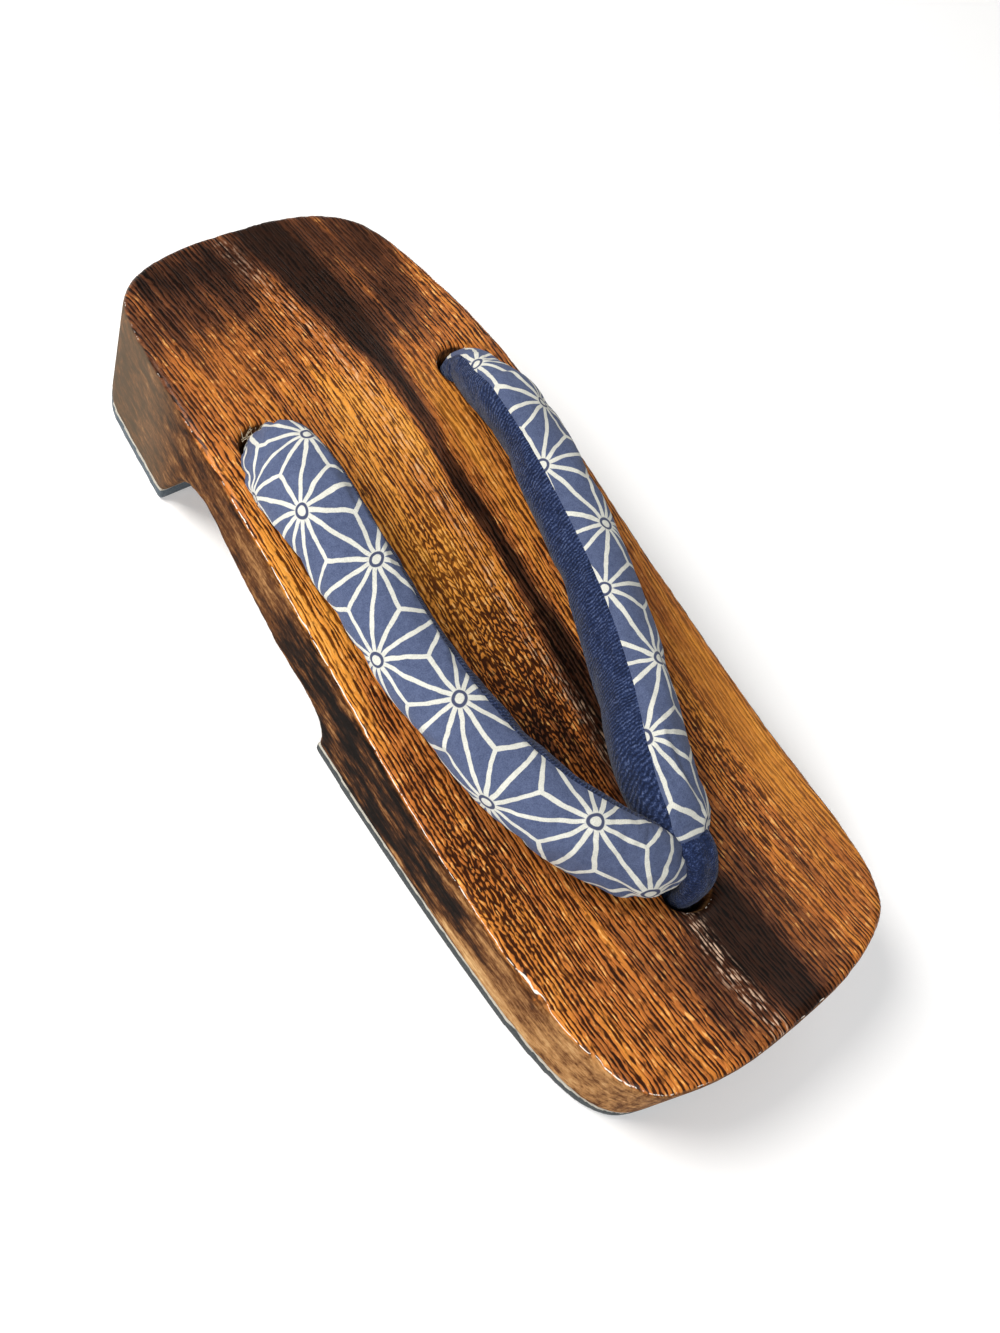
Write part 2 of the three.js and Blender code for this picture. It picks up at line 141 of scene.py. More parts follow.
def add_softbox(name, place, aim, size, power, colour=(1, 1, 1)):
    data = bpy.data.lights.new(name, "AREA")
    data.shape = "DISK"
    data.size = size
    data.energy = power
    data.color = colour
    lamp = bpy.data.objects.new(name, data)
    bpy.context.scene.collection.objects.link(lamp)
    lamp.location = place
    lamp.rotation_euler = (Vector(aim) - Vector(place)).to_track_quat("-Z", "Y").to_euler()


def add_studio():
    world = bpy.data.worlds.new("studio")
    bpy.context.scene.world = world
    world.use_nodes = True
    sky = world.node_tree.nodes["Background"]
    sky.inputs["Color"].default_value = (0.93, 0.96, 1.0, 1)
    sky.inputs["Strength"].default_value = 0.16
    add_softbox("key", (-0.46, 0.60, 0.82), (0, -0.02, 0.02), 0.62, 12.9, (1.0, 0.97, 0.93))
    add_softbox("fill", (-1.3, -0.9, 1.15), (0, 0, 0.02), 1.5, 32.0)
    add_softbox("bounce", (1.5, 0.5, 1.3), (0.1, 0, 0.02), 1.7, 9.0)
    bpy.context.scene.view_settings.view_transform = "Standard"
    bpy.ops.mesh.primitive_plane_add(size=6.0, location=(0, 0, 0))
    floor = bpy.context.object
    floor.name = "floor"
    floor.data.materials.append(floor_paper())


# ---- wiring node trees ----
class Wires:
    """Adds nodes to one tree and returns their first output."""

    def __init__(self, tree):
        self.tree = tree

    def node(self, kind, sockets=None, **settings):
        made = self.tree.nodes.new(kind)
        for name, value in settings.items():
            setattr(made, name, value)
        for name, value in (sockets or {}).items():
            if isinstance(value, bpy.types.NodeSocket):
                self.tree.links.new(value, made.inputs[name])
            else:
                made.inputs[name].default_value = value
        return made

    def maths(self, operation, *values, clamp=False):
        sockets = dict(enumerate(values))
        return self.node("ShaderNodeMath", sockets, operation=operation, use_clamp=clamp).outputs[0]

    def add(self, a, b):
        return self.maths("ADD", a, b)

    def take(self, a, b):
        return self.maths("SUBTRACT", a, b)

    def times(self, a, b):
        return self.maths("MULTIPLY", a, b)

    def total(self, values):
        out = values[0]
        for value in values[1:]:
            out = self.add(out, value)
        return out

    def step(self, value, low, high):
        """0 below low, 1 above high, smooth between; low may be above high."""
        sockets = {"Value": value, "From Min": low, "From Max": high}
        made = self.node("ShaderNodeMapRange", sockets, interpolation_type="SMOOTHSTEP")
        return made.outputs[0]

    def vector(self, x=0.0, y=0.0, z=0.0):
        return self.node("ShaderNodeCombineXYZ", {"X": x, "Y": y, "Z": z}).outputs[0]

    def parts(self, vector):
        made = self.node("ShaderNodeSeparateXYZ", {0: vector})
        return made.outputs["X"], made.outputs["Y"], made.outputs["Z"]

    def noise(self, vector, scale, detail=2.0, rough=0.5):
        sockets = {"Vector": vector, "Scale": scale, "Detail": detail, "Roughness": rough}
        return self.node("ShaderNodeTexNoise", sockets).outputs["Fac"]

    def blend(self, share, a, b, kind="MIX"):
        sockets = {0: share, 6: colour_of(a), 7: colour_of(b)}
        return self.node("ShaderNodeMix", sockets, data_type="RGBA", blend_type=kind).outputs[2]

    def ramp(self, value, stops):
        made = self.node("ShaderNodeValToRGB", {"Fac": value})
        stop = made.color_ramp.elements
        while len(stop) < len(stops):
            stop.new(1.0)
        for element, (place, colour) in zip(stop, stops):
            element.position = place
            element.color = colour_of(colour)
        return made.outputs["Color"]

    def curve(self, value, points):
        """Smooth line through hand-set points; reads and returns 0 to 1."""
        made = self.node("ShaderNodeFloatCurve", {"Value": value})
        line = made.mapping.curves[0].points
        while len(line) < len(points):
            line.new(0.5, 0.5)
        for point, place in zip(line, points):
            point.location = place
        made.mapping.update()
        return made.outputs[0]

    def bump(self, height, depth, normal=None):
        sockets = {"Height": height, "Strength": 1.0, "Distance": depth}
        if normal is not None:
            sockets["Normal"] = normal
        return self.node("ShaderNodeBump", sockets).outputs[0]

    def place_mm(self):
        """Object coordinates in millimetres."""
        coord = self.node("ShaderNodeTexCoord").outputs["Object"]
        made = self.node("ShaderNodeVectorMath", {0: coord, "Scale": 1000.0}, operation="SCALE")
        return made.outputs[0]

    def group(self, tree, **sockets):
        made = self.node("ShaderNodeGroup", node_tree=tree)
        for name, value in sockets.items():
            name = name.replace("_", " ")
            if isinstance(value, bpy.types.NodeSocket):
                self.tree.links.new(value, made.inputs[name])
            else:
                made.inputs[name].default_value = value
        return made.outputs


def colour_of(value):
    if isinstance(value, bpy.types.NodeSocket) or len(value) == 4:
        return value
    return (*value, 1.0)


def tone(red, green, blue):
    """A colour as a paint chip is read, 0 to 255, made linear."""
    def linear(c):
        c /= 255
        return c / 12.92 if c <= 0.04045 else ((c + 0.055) / 1.055) ** 2.4
    return (linear(red), linear(green), linear(blue))


def new_material(name):
    material = bpy.data.materials.new(name)
    material.use_nodes = True
    wires = Wires(material.node_tree)
    shader = material.node_tree.nodes["Principled BSDF"]
    return material, wires, shader


def plug(wires, shader, **sockets):
    for name, value in sockets.items():
        socket = shader.inputs[name.replace("_", " ")]
        if isinstance(value, bpy.types.NodeSocket):
            wires.tree.links.new(value, socket)
        else:
            socket.default_value = value


def new_group(name, inputs, outputs):
    tree = bpy.data.node_groups.new(name, "ShaderNodeTree")
    for side, sockets in (("INPUT", inputs), ("OUTPUT", outputs)):
        for socket, kind in sockets.items():
            tree.interface.new_socket(socket, in_out=side, socket_type="NodeSocket" + kind)
    entry = tree.nodes.new("NodeGroupInput")
    finish = tree.nodes.new("NodeGroupOutput")
    return tree, Wires(tree), entry.outputs, finish.inputs


# ---- effects that several finishes share ----
def fibre_speckle():
    """Fine light and dark flecks of a cloth or rubber skin, with a matching height."""
    tree, w, given, out = new_group(
        "fibre speckle", {"Place": "Vector", "Pitch": "Float"}, {"Height": "Float", "Fleck": "Float"}
    )
    per_mm = w.maths("DIVIDE", 1.0, given["Pitch"])
    fine = w.noise(given["Place"], per_mm, 2.0, 0.6)
    broad = w.noise(given["Place"], w.times(per_mm, 0.22), 2.0, 0.5)
    tree.links.new(fine, out["Height"])
    tree.links.new(w.add(w.times(fine, 0.7), w.times(broad, 0.3)), out["Fleck"])
    return tree


def wood_grain():
    """Fine lengthwise ridges of brushed wood along Y, broken into dashes."""
    tree, w, given, out = new_group(
        "wood grain",
        {"Place": "Vector", "Pitch": "Float", "Wander": "Float"},
        {"Ridge": "Float", "Dash": "Float", "Ripple": "Float", "Spark": "Float", "Across": "Float"},
    )
    x, y, z = w.parts(given["Place"])
    depth = w.times(z, 0.02)
    sway = w.noise(w.vector(w.times(x, 0.03), w.times(y, 0.012), depth), 1.0, 2.0)
    quiver = w.noise(w.vector(w.times(x, 0.40), w.times(y, 0.035), 3.0), 1.0, 2.0)
    shiver = w.noise(w.vector(w.times(x, 0.45), w.times(y, 0.17), 9.0), 1.0, 2.0)
    shift = w.total([
        w.times(w.take(sway, 0.5), 5.0),
        w.times(w.take(quiver, 0.5), 0.7),
        w.times(w.take(shiver, 0.5), 0.85),
    ])
    across = w.add(x, w.times(shift, given["Wander"]))
    lines = w.maths("DIVIDE", across, given["Pitch"])
    drift = w.noise(w.vector(w.times(lines, 0.5), w.times(y, 0.022), depth), 1.0, 2.0)
    wave = w.maths("SINE", w.times(w.add(lines, w.times(drift, 2.2)), 2 * math.pi))
    dash = w.noise(w.vector(w.times(lines, 1.3), w.times(y, 0.21), 7.0), 1.0, 2.0, 0.6)
    cross = w.noise(w.vector(w.times(lines, 0.9), w.times(y, 0.11), 11.0), 1.0, 1.0)
    spark = w.noise(w.vector(w.times(lines, 1.0), w.times(y, 0.30), 15.0), 1.0, 2.0, 0.6)
    ripple = w.maths("SINE", w.times(w.add(w.times(y, 0.42), w.times(cross, 4.0)), 2 * math.pi))
    tree.links.new(w.add(0.5, w.times(wave, 0.5)), out["Ridge"])
    tree.links.new(w.step(dash, 0.34, 0.62), out["Dash"])
    tree.links.new(w.add(0.5, w.times(ripple, 0.5)), out["Ripple"])
    tree.links.new(spark, out["Spark"])
    tree.links.new(across, out["Across"])
    return tree


# ---- finishes ----
def floor_paper():
    material, w, shader = new_material("pale floor")
    place = w.place_mm()
    cloudy = w.noise(place, 0.004, 2.0)
    plug(w, shader, Base_Color=w.ramp(cloudy, ((0.3, (0.93, 0.93, 0.93)), (0.7, (0.96, 0.96, 0.96)))),
         Roughness=0.7, Specular_IOR_Level=0.2)
    return material


def patch_sum(w, first, second, patches):
    """Sum of soft oval patches; each row is centre, reach and amount on two coordinates."""
    found = []
    for at_first, at_second, reach_first, reach_second, amount in patches:
        a = w.maths("DIVIDE", w.take(first, at_first), reach_first)
        b = w.maths("DIVIDE", w.take(second, at_second), reach_second)
        far = w.add(w.times(a, a), w.times(b, b))
        found.append(w.times(w.maths("EXPONENT", w.times(far, -1.0)), amount))
    return w.total(found)


# patches of tone on the footbed, two of them painted shade beside the right arm: across, along, reach
# across, reach along, amount
FOOTBED_TONE_AND_SHADE = (
    (-28.0, 80.0, 12.0, 16.0, 0.04),
    (-24.0, 97.0, 16.0, 8.0, -0.28),
    (-4.0, 77.0, 8.0, 10.0, -0.24),
    (-2.0, -108.0, 40.0, 20.0, -0.13),
    (8.0, -105.0, 7.0, 10.0, -0.22),
    (4.0, 6.0, 6.0, 14.0, 0.18),
    # painted shade: the shadow of the right arm on the wood beside it
    (21.0, -62.0, 5.0, 20.0, -0.18),
    (44.0, -46.0, 5.0, 16.0, -0.08),
    (-4.0, 52.0, 8.0, 26.0, 0.36),
    (19.0, 42.0, 6.0, 24.0, 0.38),
    (6.0, 42.0, 3.0, 12.0, 0.35),
    (41.0, -60.0, 9.0, 50.0, 0.25),
    (-46.0, 8.0, 6.0, 30.0, 0.38),
    (-20.0, -112.0, 16.0, 12.0, 0.05),
    (29.0, -8.0, 4.0, 30.0, 0.25),
    (-9.0, 12.0, 9.0, 18.0, 0.55),
    (-5.0, -19.0, 6.0, 8.0, 0.18),
    (-14.0, 114.0, 26.0, 12.0, -0.40),
    (30.0, 108.0, 12.0, 20.0, -0.34),
    (23.0, 80.0, 10.0, 13.0, -0.46),
    (-44.0, 84.0, 5.0, 22.0, -0.20),
    (-6.0, -41.0, 10.0, 14.0, -0.24),
    (-43.0, -48.0, 8.0, 28.0, 0.06),
    # painted shade beside the right arm, over a dark streak in the wood
    (30.0, -62.0, 7.0, 26.0, -0.04),
    (13.0, -92.0, 9.0, 12.0, -0.26),
    (-8.0, -106.0, 8.0, 16.0, -0.36),
)
# middle line and half width of the scorched band, toe to heel
BAND_MIDDLE = (
    (-125, 6), (-108, 4), (-90, 3), (-60, 4), (-30, 8), (0, 10), (30, 10), (60, 12), (85, 11), (125, 10),
)
BAND_HALF = (
    (-125, 12), (-108, 11), (-90, 10), (-60, 8), (-30, 6), (0, 3), (30, 3), (60, 4), (85, 7), (125, 9),
)
# middle line of the pale streak beside it
STREAK_MIDDLE = (
    (-125, -6), (-105, -6), (-90, -4), (-45, 4), (-20, 2), (10, 3), (40, 2), (70, 2), (100, -1), (125, -3),
)


def along_line(w, y, rows, span):
    """Value read along the board from rows of (along, value), with value inside -span to span."""
    share = w.maths("DIVIDE", w.take(y, TOE_Y / MM), (HEEL_Y - TOE_Y) / MM)
    points = [((a * MM - TOE_Y) / (HEEL_Y - TOE_Y), 0.5 + v / span / 2) for a, v in rows]
    return w.times(w.take(w.curve(share, points), 0.5), 2.0 * span)


def board_wood(grain, speckle):
    material, w, shader = new_material("scorched wood")
    place = w.place_mm()
    x, y, z = w.parts(place)
    facing = w.parts(w.node("ShaderNodeNewGeometry").outputs["Normal"])
    on_top = w.step(facing[2], 0.35, 0.75)
    under = w.step(facing[2], -0.3, -0.7)

    # footbed: dark valleys between lacquered ridges, both shifting with the broad tone
    brushed = w.group(grain, Place=place, Pitch=1.12, Wander=1.0)
    across, dash = brushed["Across"], brushed["Dash"]
    cloud = w.noise(w.vector(w.times(x, 0.10), w.times(y, 0.028), 1.0), 1.0, 3.0, 0.6)
    streaky = w.noise(w.vector(w.times(across, 0.32), w.times(y, 0.016), 5.0), 1.0, 2.0, 0.6)
    band_off = w.take(across, along_line(w, y, BAND_MIDDLE, 50))
    band = w.step(w.maths("ABSOLUTE", band_off), w.add(along_line(w, y, BAND_HALF, 20), 1.5), 0.5)
    streak_off = w.maths("ABSOLUTE", w.take(across, along_line(w, y, STREAK_MIDDLE, 50)))
    specks = w.times(w.step(brushed["Spark"], 0.46, 0.62), w.step(brushed["Ridge"], 0.25, 0.75))
    streak = w.times(w.step(streak_off, 3.8, 0.8), specks)
    streak = w.times(streak, w.add(0.32, w.times(w.step(y, -80.0, -95.0), 0.6)))
    toned = w.total([
        0.44,
        # the patches give the wood's own tone and painted shade beside the right arm
        w.times(patch_sum(w, x, y, FOOTBED_TONE_AND_SHADE), 0.60),
        w.times(w.take(cloud, 0.5), 0.50),
        w.times(w.take(streaky, 0.5), 0.60),
        w.times(band, -0.46),
        w.times(w.step(y, 55.0, 118.0), -0.16),
    ])
    valley = w.ramp(toned, (
        (0.00, tone(12, 6, 4)), (0.30, tone(34, 18, 11)),
        (0.52, tone(64, 31, 12)), (0.72, tone(112, 62, 17)),
        (1.00, tone(176, 116, 36)),
    ))
    crest = w.ramp(toned, (
        (0.00, tone(44, 26, 17)), (0.20, tone(96, 56, 34)),
        (0.42, tone(180, 106, 48)), (0.62, tone(216, 141, 56)),
        (1.00, tone(232, 170, 80)),
    ))
    beaded = w.maths("MINIMUM", patch_sum(w, x, y, BEADED), 1.0)
    cut = w.take(1.0, w.times(w.times(beaded, 0.85), brushed["Ripple"]))
    relief = w.times(w.add(w.times(brushed["Ridge"], 0.58), w.times(dash, 0.42)), cut)
    calm = w.maths("MINIMUM", patch_sum(w, x, y, CALM), 0.8)
    share = w.add(w.times(w.step(relief, 0.31, 0.57), w.take(1.0, calm)), w.times(calm, 0.50))
    top_colour = w.blend(share, valley, crest)
    # painted highlight: bright glints of the lacquer on the ridge tops, mixed into the colour
    painted_glint = w.times(w.step(brushed["Spark"], 0.56, 0.68), w.step(brushed["Ridge"], 0.45, 0.85))
    lively = w.add(w.times(w.step(toned, 0.10, 0.42), w.take(0.9, calm)), w.times(beaded, 0.2))
    top_colour = w.blend(w.times(painted_glint, lively), top_colour, tone(230, 170, 96))
    pit = w.times(w.step(brushed["Spark"], 0.45, 0.34), 0.65)
    top_colour = w.blend(w.times(pit, w.take(1.0, calm)), top_colour, tone(44, 20, 9))
    top_colour = w.blend(streak, top_colour, tone(204, 172, 146))

    # sides: sawn and stained, darker under the instep, with long slanting scorch marks
    flat_grain = w.group(grain, Place=w.vector(z, y, x), Pitch=1.5, Wander=0.6)
    mottle = w.noise(w.vector(x, w.times(y, 0.06), w.times(z, 0.30)), 1.0, 4.0, 0.68)
    lean = w.add(w.times(y, 0.8), w.times(z, 1.1))
    burnt_at = w.vector(w.times(x, 0.1), w.times(lean, 0.055), w.times(w.take(z, w.times(y, 0.25)), 0.13))
    scorch = w.noise(burnt_at, 1.0, 3.0, 0.6)
    instep = w.step(w.maths("ABSOLUTE", w.add(y, 24.0)), 56.0, 30.0)
    side_zone = w.total([
        0.39,
        w.times(w.take(mottle, 0.5), w.add(0.95, w.times(instep, 0.75))),
        w.times(w.take(flat_grain["Dash"], 0.5), 0.12),
        w.times(
            w.take(
                w.noise(w.vector(w.times(x, 1.2), w.times(y, 0.7), w.times(z, 0.7)), 1.0, 3.0, 0.7), 0.5
            ),
            0.42,
        ),
        patch_sum(w, y, z, SIDE_TONES),
        w.times(w.times(w.step(scorch, 0.42, 0.58), w.add(0.2, w.times(instep, 0.8))), -0.30),
    ])
    side_colour = w.ramp(side_zone, (
        (0.05, tone(14, 8, 5)), (0.25, tone(44, 25, 13)), (0.45, tone(92, 56, 28)),
        (0.68, tone(155, 112, 68)), (1.00, tone(200, 163, 112)),
    ))
    side_colour = w.blend(w.times(w.step(y, 66.0, 92.0), 0.35), side_colour, tone(126, 110, 90))
    colour = w.blend(on_top, side_colour, top_colour)
    mottled = w.ramp(mottle, ((0.3, tone(86, 60, 38)), (0.7, tone(140, 104, 66))))
    colour = w.blend(w.times(under, 0.7), colour, mottled)

    # pale line along the upper left arris: a painted edge highlight, with bare wood where the arris is
    # chipped
    rim_noise = w.noise(w.vector(w.times(x, 0.6), w.times(y, 0.30), w.times(z, 0.4)), 1.0, 3.0, 0.7)
    left = w.step(x, -18.0, -34.0)
    rim_stretch = w.times(left, w.step(w.maths("ABSOLUTE", w.add(y, 32.0)), 88.0, 66.0))
    chipped = w.maths("MINIMUM", w.times(left, patch_sum(w, y, z, CHIPPED)), 1.0)
    half = w.total([0.045, w.times(w.take(rim_noise, 0.5), 0.16), w.times(chipped, 0.06)])
    line = w.step(w.maths("ABSOLUTE", w.take(facing[2], 0.70)), half, w.times(half, 0.4))
    rim_breakup = w.total([rim_noise, w.times(rim_stretch, 0.16), w.times(chipped, 0.14)])
    rim_highlight_and_wear = w.times(line, w.step(rim_breakup, 0.57, 0.66))
    colour = w.blend(rim_highlight_and_wear, colour, tone(226, 216, 204))

    polish = w.noise(w.vector(w.times(x, 0.3), w.times(y, 0.1), z), 1.0, 2.0)
    gloss = w.total([0.34, w.times(polish, 0.16), w.times(w.take(1.0, on_top), 0.34), w.times(rim_highlight_and_wear, 0.3)])
    skin = w.group(speckle, Place=place, Pitch=0.5)
    height = w.add(w.times(w.times(relief, on_top), 1.0), w.times(skin["Height"], 0.10))
    normal = w.bump(height, 0.20 * MM)
    plug(w, shader, Base_Color=colour, Roughness=gloss, Normal=normal, Coat_Weight=w.times(on_top, 0.10),
         Coat_Roughness=0.16, Specular_IOR_Level=0.05)
    return material


# where the grain lies calm under thick lacquer: across, along, reach across, reach along, amount
CALM = (
    (42.0, -50.0, 8.0, 60.0, 0.75),
    (-28.0, 84.0, 12.0, 18.0, 0.35),
    (18.0, 42.0, 7.0, 26.0, 0.5),
    (30.0, 108.0, 14.0, 18.0, 0.4),
    (24.0, -106.0, 14.0, 16.0, 0.3),
    (10.0, 118.0, 14.0, 14.0, 0.4),
)
# where the ridges are cut up into beads: across, along, reach across, reach along, amount
BEADED = (
    (-6.0, -26.0, 15.0, 32.0, 1.0),
    (-42.0, -58.0, 8.0, 32.0, 0.75),
    (-8.0, 14.0, 9.0, 18.0, 0.5),
    (30.0, -62.0, 8.0, 24.0, 0.5),
)
# where the left arris has lost the most: along, height, reach along, reach up, amount
CHIPPED = (
    (-82.0, 33.0, 5.0, 9.0, 1.0),
    (-8.0, 42.0, 20.0, 9.0, 0.6),
    (-112.0, 32.0, 7.0, 9.0, 0.7),
)
# patches of tone on the sides: along, height, reach along, reach up, amount
SIDE_TONES = (
    (-102.0, 18.0, 24.0, 30.0, 0.28),
    (-68.0, 7.0, 20.0, 6.0, 0.32),
    (-88.0, 25.0, 8.0, 5.0, -0.12),
    (-70.0, 21.0, 9.0, 8.0, 0.12),
    (-20.0, 26.0, 30.0, 14.0, -0.10),
    (4.0, 27.0, 12.0, 10.0, 0.08),
    (-40.0, 26.0, 10.0, 10.0, 0.08),
    (32.0, 38.0, 12.0, 10.0, 0.16),
    (108.0, 22.0, 14.0, 24.0, -0.14),
)


def rubber_skin(name, speckle, face, dust):
    material, w, shader = new_material(name)
    place = w.place_mm()
    height = w.parts(place)[2]
    skin = w.group(speckle, Place=place, Pitch=0.45)
    colour = w.ramp(skin["Fleck"], ((0.35, face), (0.75, dust)))
    # painted highlight: a pale line along the top of the pad where it meets the wood
    ragged = w.times(w.take(w.noise(place, 0.25, 2.0), 0.5), 1.1)
    joint_highlight = w.step(w.add(height, ragged), PAD_TOP / MM - 0.55, PAD_TOP / MM - 0.25)
    colour = w.blend(joint_highlight, colour, tone(176, 172, 160))
    plug(w, shader, Base_Color=colour, Roughness=0.78, Normal=w.bump(skin["Height"], 0.10 * MM),
         Specular_IOR_Level=0.35)
    return material


THREAD_STEP = 0.42
STAR_ALONG = 18.8
STAR_ROUND = 21.7


def printed_cotton(speckle):
    """Blue cotton with the hemp-leaf print: stars on a triangular grid, twelve rays to a star."""
    material, w, shader = new_material("printed cotton")
    place = w.place_mm()
    sheet = w.node("ShaderNodeUVMap", uv_map="cloth").outputs[0]
    sheet = w.node("ShaderNodeVectorMath", {0: sheet, "Scale": 1000.0}, operation="SCALE").outputs[0]
    u, v, _ = w.parts(sheet)
    hand = w.node("ShaderNodeTexNoise", {"Vector": place, "Scale": 0.22, "Detail": 1.0}).outputs["Color"]
    hand_u, hand_v, _ = w.parts(hand)
    u = w.add(u, w.times(w.take(hand_u, 0.5), 0.9))
    v = w.add(v, w.times(w.take(hand_v, 0.5), 0.9))

    def to_star(offset):
        """Offsets to the nearest star of one of the two interleaved square grids."""
        out = []
        for value, pitch in ((u, 2 * STAR_ALONG), (v, STAR_ROUND)):
            turned = w.add(w.maths("DIVIDE", value, pitch), 0.5 + offset)
            out.append(w.times(w.take(w.maths("FRACT", turned), 0.5), pitch))
        return out

    def reach(pair):
        return w.maths("SQRT", w.add(w.times(pair[0], pair[0]), w.times(pair[1], pair[1])))

    first, second = to_star(0.0), to_star(0.5)
    near = w.maths("LESS_THAN", reach(first), reach(second))
    du, dv = (w.add(w.times(near, a), w.times(w.take(1.0, near), b)) for a, b in zip(first, second))
    radius = reach((du, dv))
    spoke = math.radians(30)
    angle = w.maths("ARCTAN2", du, dv)
    sector = w.maths("FRACT", w.add(w.maths("DIVIDE", angle, spoke), 0.5))
    folded = w.take(w.times(sector, spoke), spoke / 2)
    off_line = w.times(radius, w.maths("ABSOLUTE", w.maths("SINE", folded)))
    uneven = w.times(w.take(w.noise(place, 1.1, 2.0), 0.5), 0.16)
    ink_edge = w.add(off_line, uneven)
    rays = w.times(w.step(ink_edge, 0.60, 0.44), w.step(radius, 1.75, 2.0))
    dot = w.step(w.add(radius, uneven), 1.22, 1.02)
    ring = w.times(w.step(radius, 1.1, 1.3), w.step(radius, 1.95, 1.70))

    weave = w.group(speckle, Place=place, Pitch=0.30)
    cloth = w.ramp(weave["Fleck"], ((0.32, tone(57, 67, 95)), (0.68, tone(86, 97, 127))))
    white = w.ramp(weave["Fleck"], ((0.3, tone(182, 182, 173)), (0.65, tone(208, 208, 199))))
    colour = w.blend(w.times(ring, 0.75), cloth, tone(58, 62, 84))
    colour = w.blend(w.maths("MAXIMUM", rays, dot), colour, white)
    thread_turn = 2 * math.pi / THREAD_STEP
    threads = w.add(w.maths("SINE", w.times(u, thread_turn)), w.maths("SINE", w.times(v, thread_turn)))
    height = w.add(w.times(threads, 0.12), weave["Height"])
    plug(w, shader, Base_Color=colour, Roughness=0.88, Normal=w.bump(height, 0.09 * MM),
         Specular_IOR_Level=0.2, Sheen_Weight=0.05, Sheen_Roughness=0.5)
    return material


def ribbed_velvet(speckle):
    """Navy lining with fine ribs across the strap."""
    material, w, shader = new_material("ribbed velvet")
    place = w.place_mm()
    sheet = w.node("ShaderNodeUVMap", uv_map="cloth").outputs[0]
    in_mm = w.node("ShaderNodeVectorMath", {0: sheet, "Scale": 1000.0}, operation="SCALE")
    u, v, _ = w.parts(in_mm.outputs[0])
    pile = w.group(speckle, Place=place, Pitch=0.42)
    sway = w.times(w.noise(w.vector(w.times(u, 0.3), w.times(v, 0.5), 0.0), 1.0, 2.0), 1.6)
    rib = w.maths("SINE", w.times(w.total([u, w.times(v, 0.35), sway]), 2 * math.pi / 0.95))
    broken = w.times(rib, w.noise(place, 1.4, 1.0))
    lit = w.total([w.times(pile["Fleck"], 0.85), 0.075, w.times(broken, 0.17)])
    colour = w.ramp(lit, ((0.36, tone(19, 27, 48)), (0.54, tone(34, 46, 78)), (0.74, tone(84, 98, 134))))
    height = w.add(pile["Height"], w.times(broken, 0.4))
    plug(w, shader, Base_Color=colour, Roughness=0.95, Normal=w.bump(height, 0.25 * MM),
         Specular_IOR_Level=0.1, Sheen_Weight=0.10, Sheen_Roughness=0.4)
    return material


def hemp_cord(speckle):
    """Undyed twisted cord under the strap, and its loose threads."""
    material, w, shader = new_material("hemp cord")
    place = w.place_mm()
    x, y, z = w.parts(place)
    fibre = w.group(speckle, Place=place, Pitch=0.25)
    twist = w.maths("SINE", w.total([w.times(x, 4.5), w.times(y, 3.5), w.times(z, 5.0)]))
    lit = w.add(fibre["Fleck"], w.times(twist, 0.10))
    colour = w.ramp(lit, (
        (0.3, tone(120, 104, 84)), (0.55, tone(176, 160, 134)), (0.75, tone(218, 208, 188)),
    ))
    height = w.add(fibre["Height"], w.times(twist, 0.8))
    plug(
        w, shader, Base_Color=colour, Roughness=0.9,
        Normal=w.bump(height, 0.18 * MM), Specular_IOR_Level=0.2,
    )
    return material


def plush_velvet(speckle):
    """Navy pile of the toe loop."""
    material, w, shader = new_material("plush velvet")
    place = w.place_mm()
    pile = w.group(speckle, Place=place, Pitch=0.45)
    brushed = w.noise(place, 0.35, 2.0)
    lit = w.add(w.times(pile["Fleck"], 0.85), w.times(brushed, 0.15))
    colour = w.ramp(lit, ((0.36, tone(14, 22, 42)), (0.53, tone(29, 41, 73)), (0.68, tone(76, 91, 132))))
    plug(w, shader, Base_Color=colour, Roughness=0.95, Normal=w.bump(pile["Height"], 0.45 * MM),
         Specular_IOR_Level=0.1, Sheen_Weight=0.12, Sheen_Roughness=0.35)
    return material


# ---- working on meshes ----
def select_only(piece):
    bpy.ops.object.select_all(action="DESELECT")
    piece.select_set(True)
    bpy.context.view_layer.objects.active = piece


def apply_modifier(piece, kind, **settings):
    select_only(piece)
    made = piece.modifiers.new(kind.lower(), kind)
    for name, value in settings.items():
        setattr(made, name, value)
    bpy.ops.object.modifier_apply(modifier=made.name)


def merged_copy(node, name):
    """A copy of a frame solid with its loose triangles joined."""
    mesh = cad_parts[node].data.copy()
    mesh.materials.clear()
    piece = bpy.data.objects.new(name, mesh)
    bpy.context.scene.collection.objects.link(piece)
    select_only(piece)
    bpy.ops.object.mode_set(mode="EDIT")
    bpy.ops.mesh.select_all(action="SELECT")
    bpy.ops.mesh.remove_doubles(threshold=0.00001)
    bpy.ops.object.mode_set(mode="OBJECT")
    return piece


def points_of(piece):
    flat = np.empty(len(piece.data.vertices) * 3)
    piece.data.vertices.foreach_get("co", flat)
    return flat.reshape(-1, 3)


def set_points(piece, points):
    piece.data.vertices.foreach_set("co", points.ravel())
    piece.data.update()


def smooth_shaded(piece, angle=None):
    select_only(piece)
    if angle is None:
        bpy.ops.object.shade_smooth()
    else:
        bpy.ops.object.shade_smooth_by_angle(angle=math.radians(angle))


def hand_over(piece, slot, *nodes):
    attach(piece, "root")
    if nodes:
        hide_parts(*nodes)


# ---- board and soles ----
# chips along the left arris: along, reach along, depth, in millimetres
CHIPS = ((-81.0, 2.6, 0.8), (-87.0, 2.0, 0.7), (-60.0, 1.6, 0.4), (-104.0, 1.8, 0.5), (12.0, 1.5, 0.3))


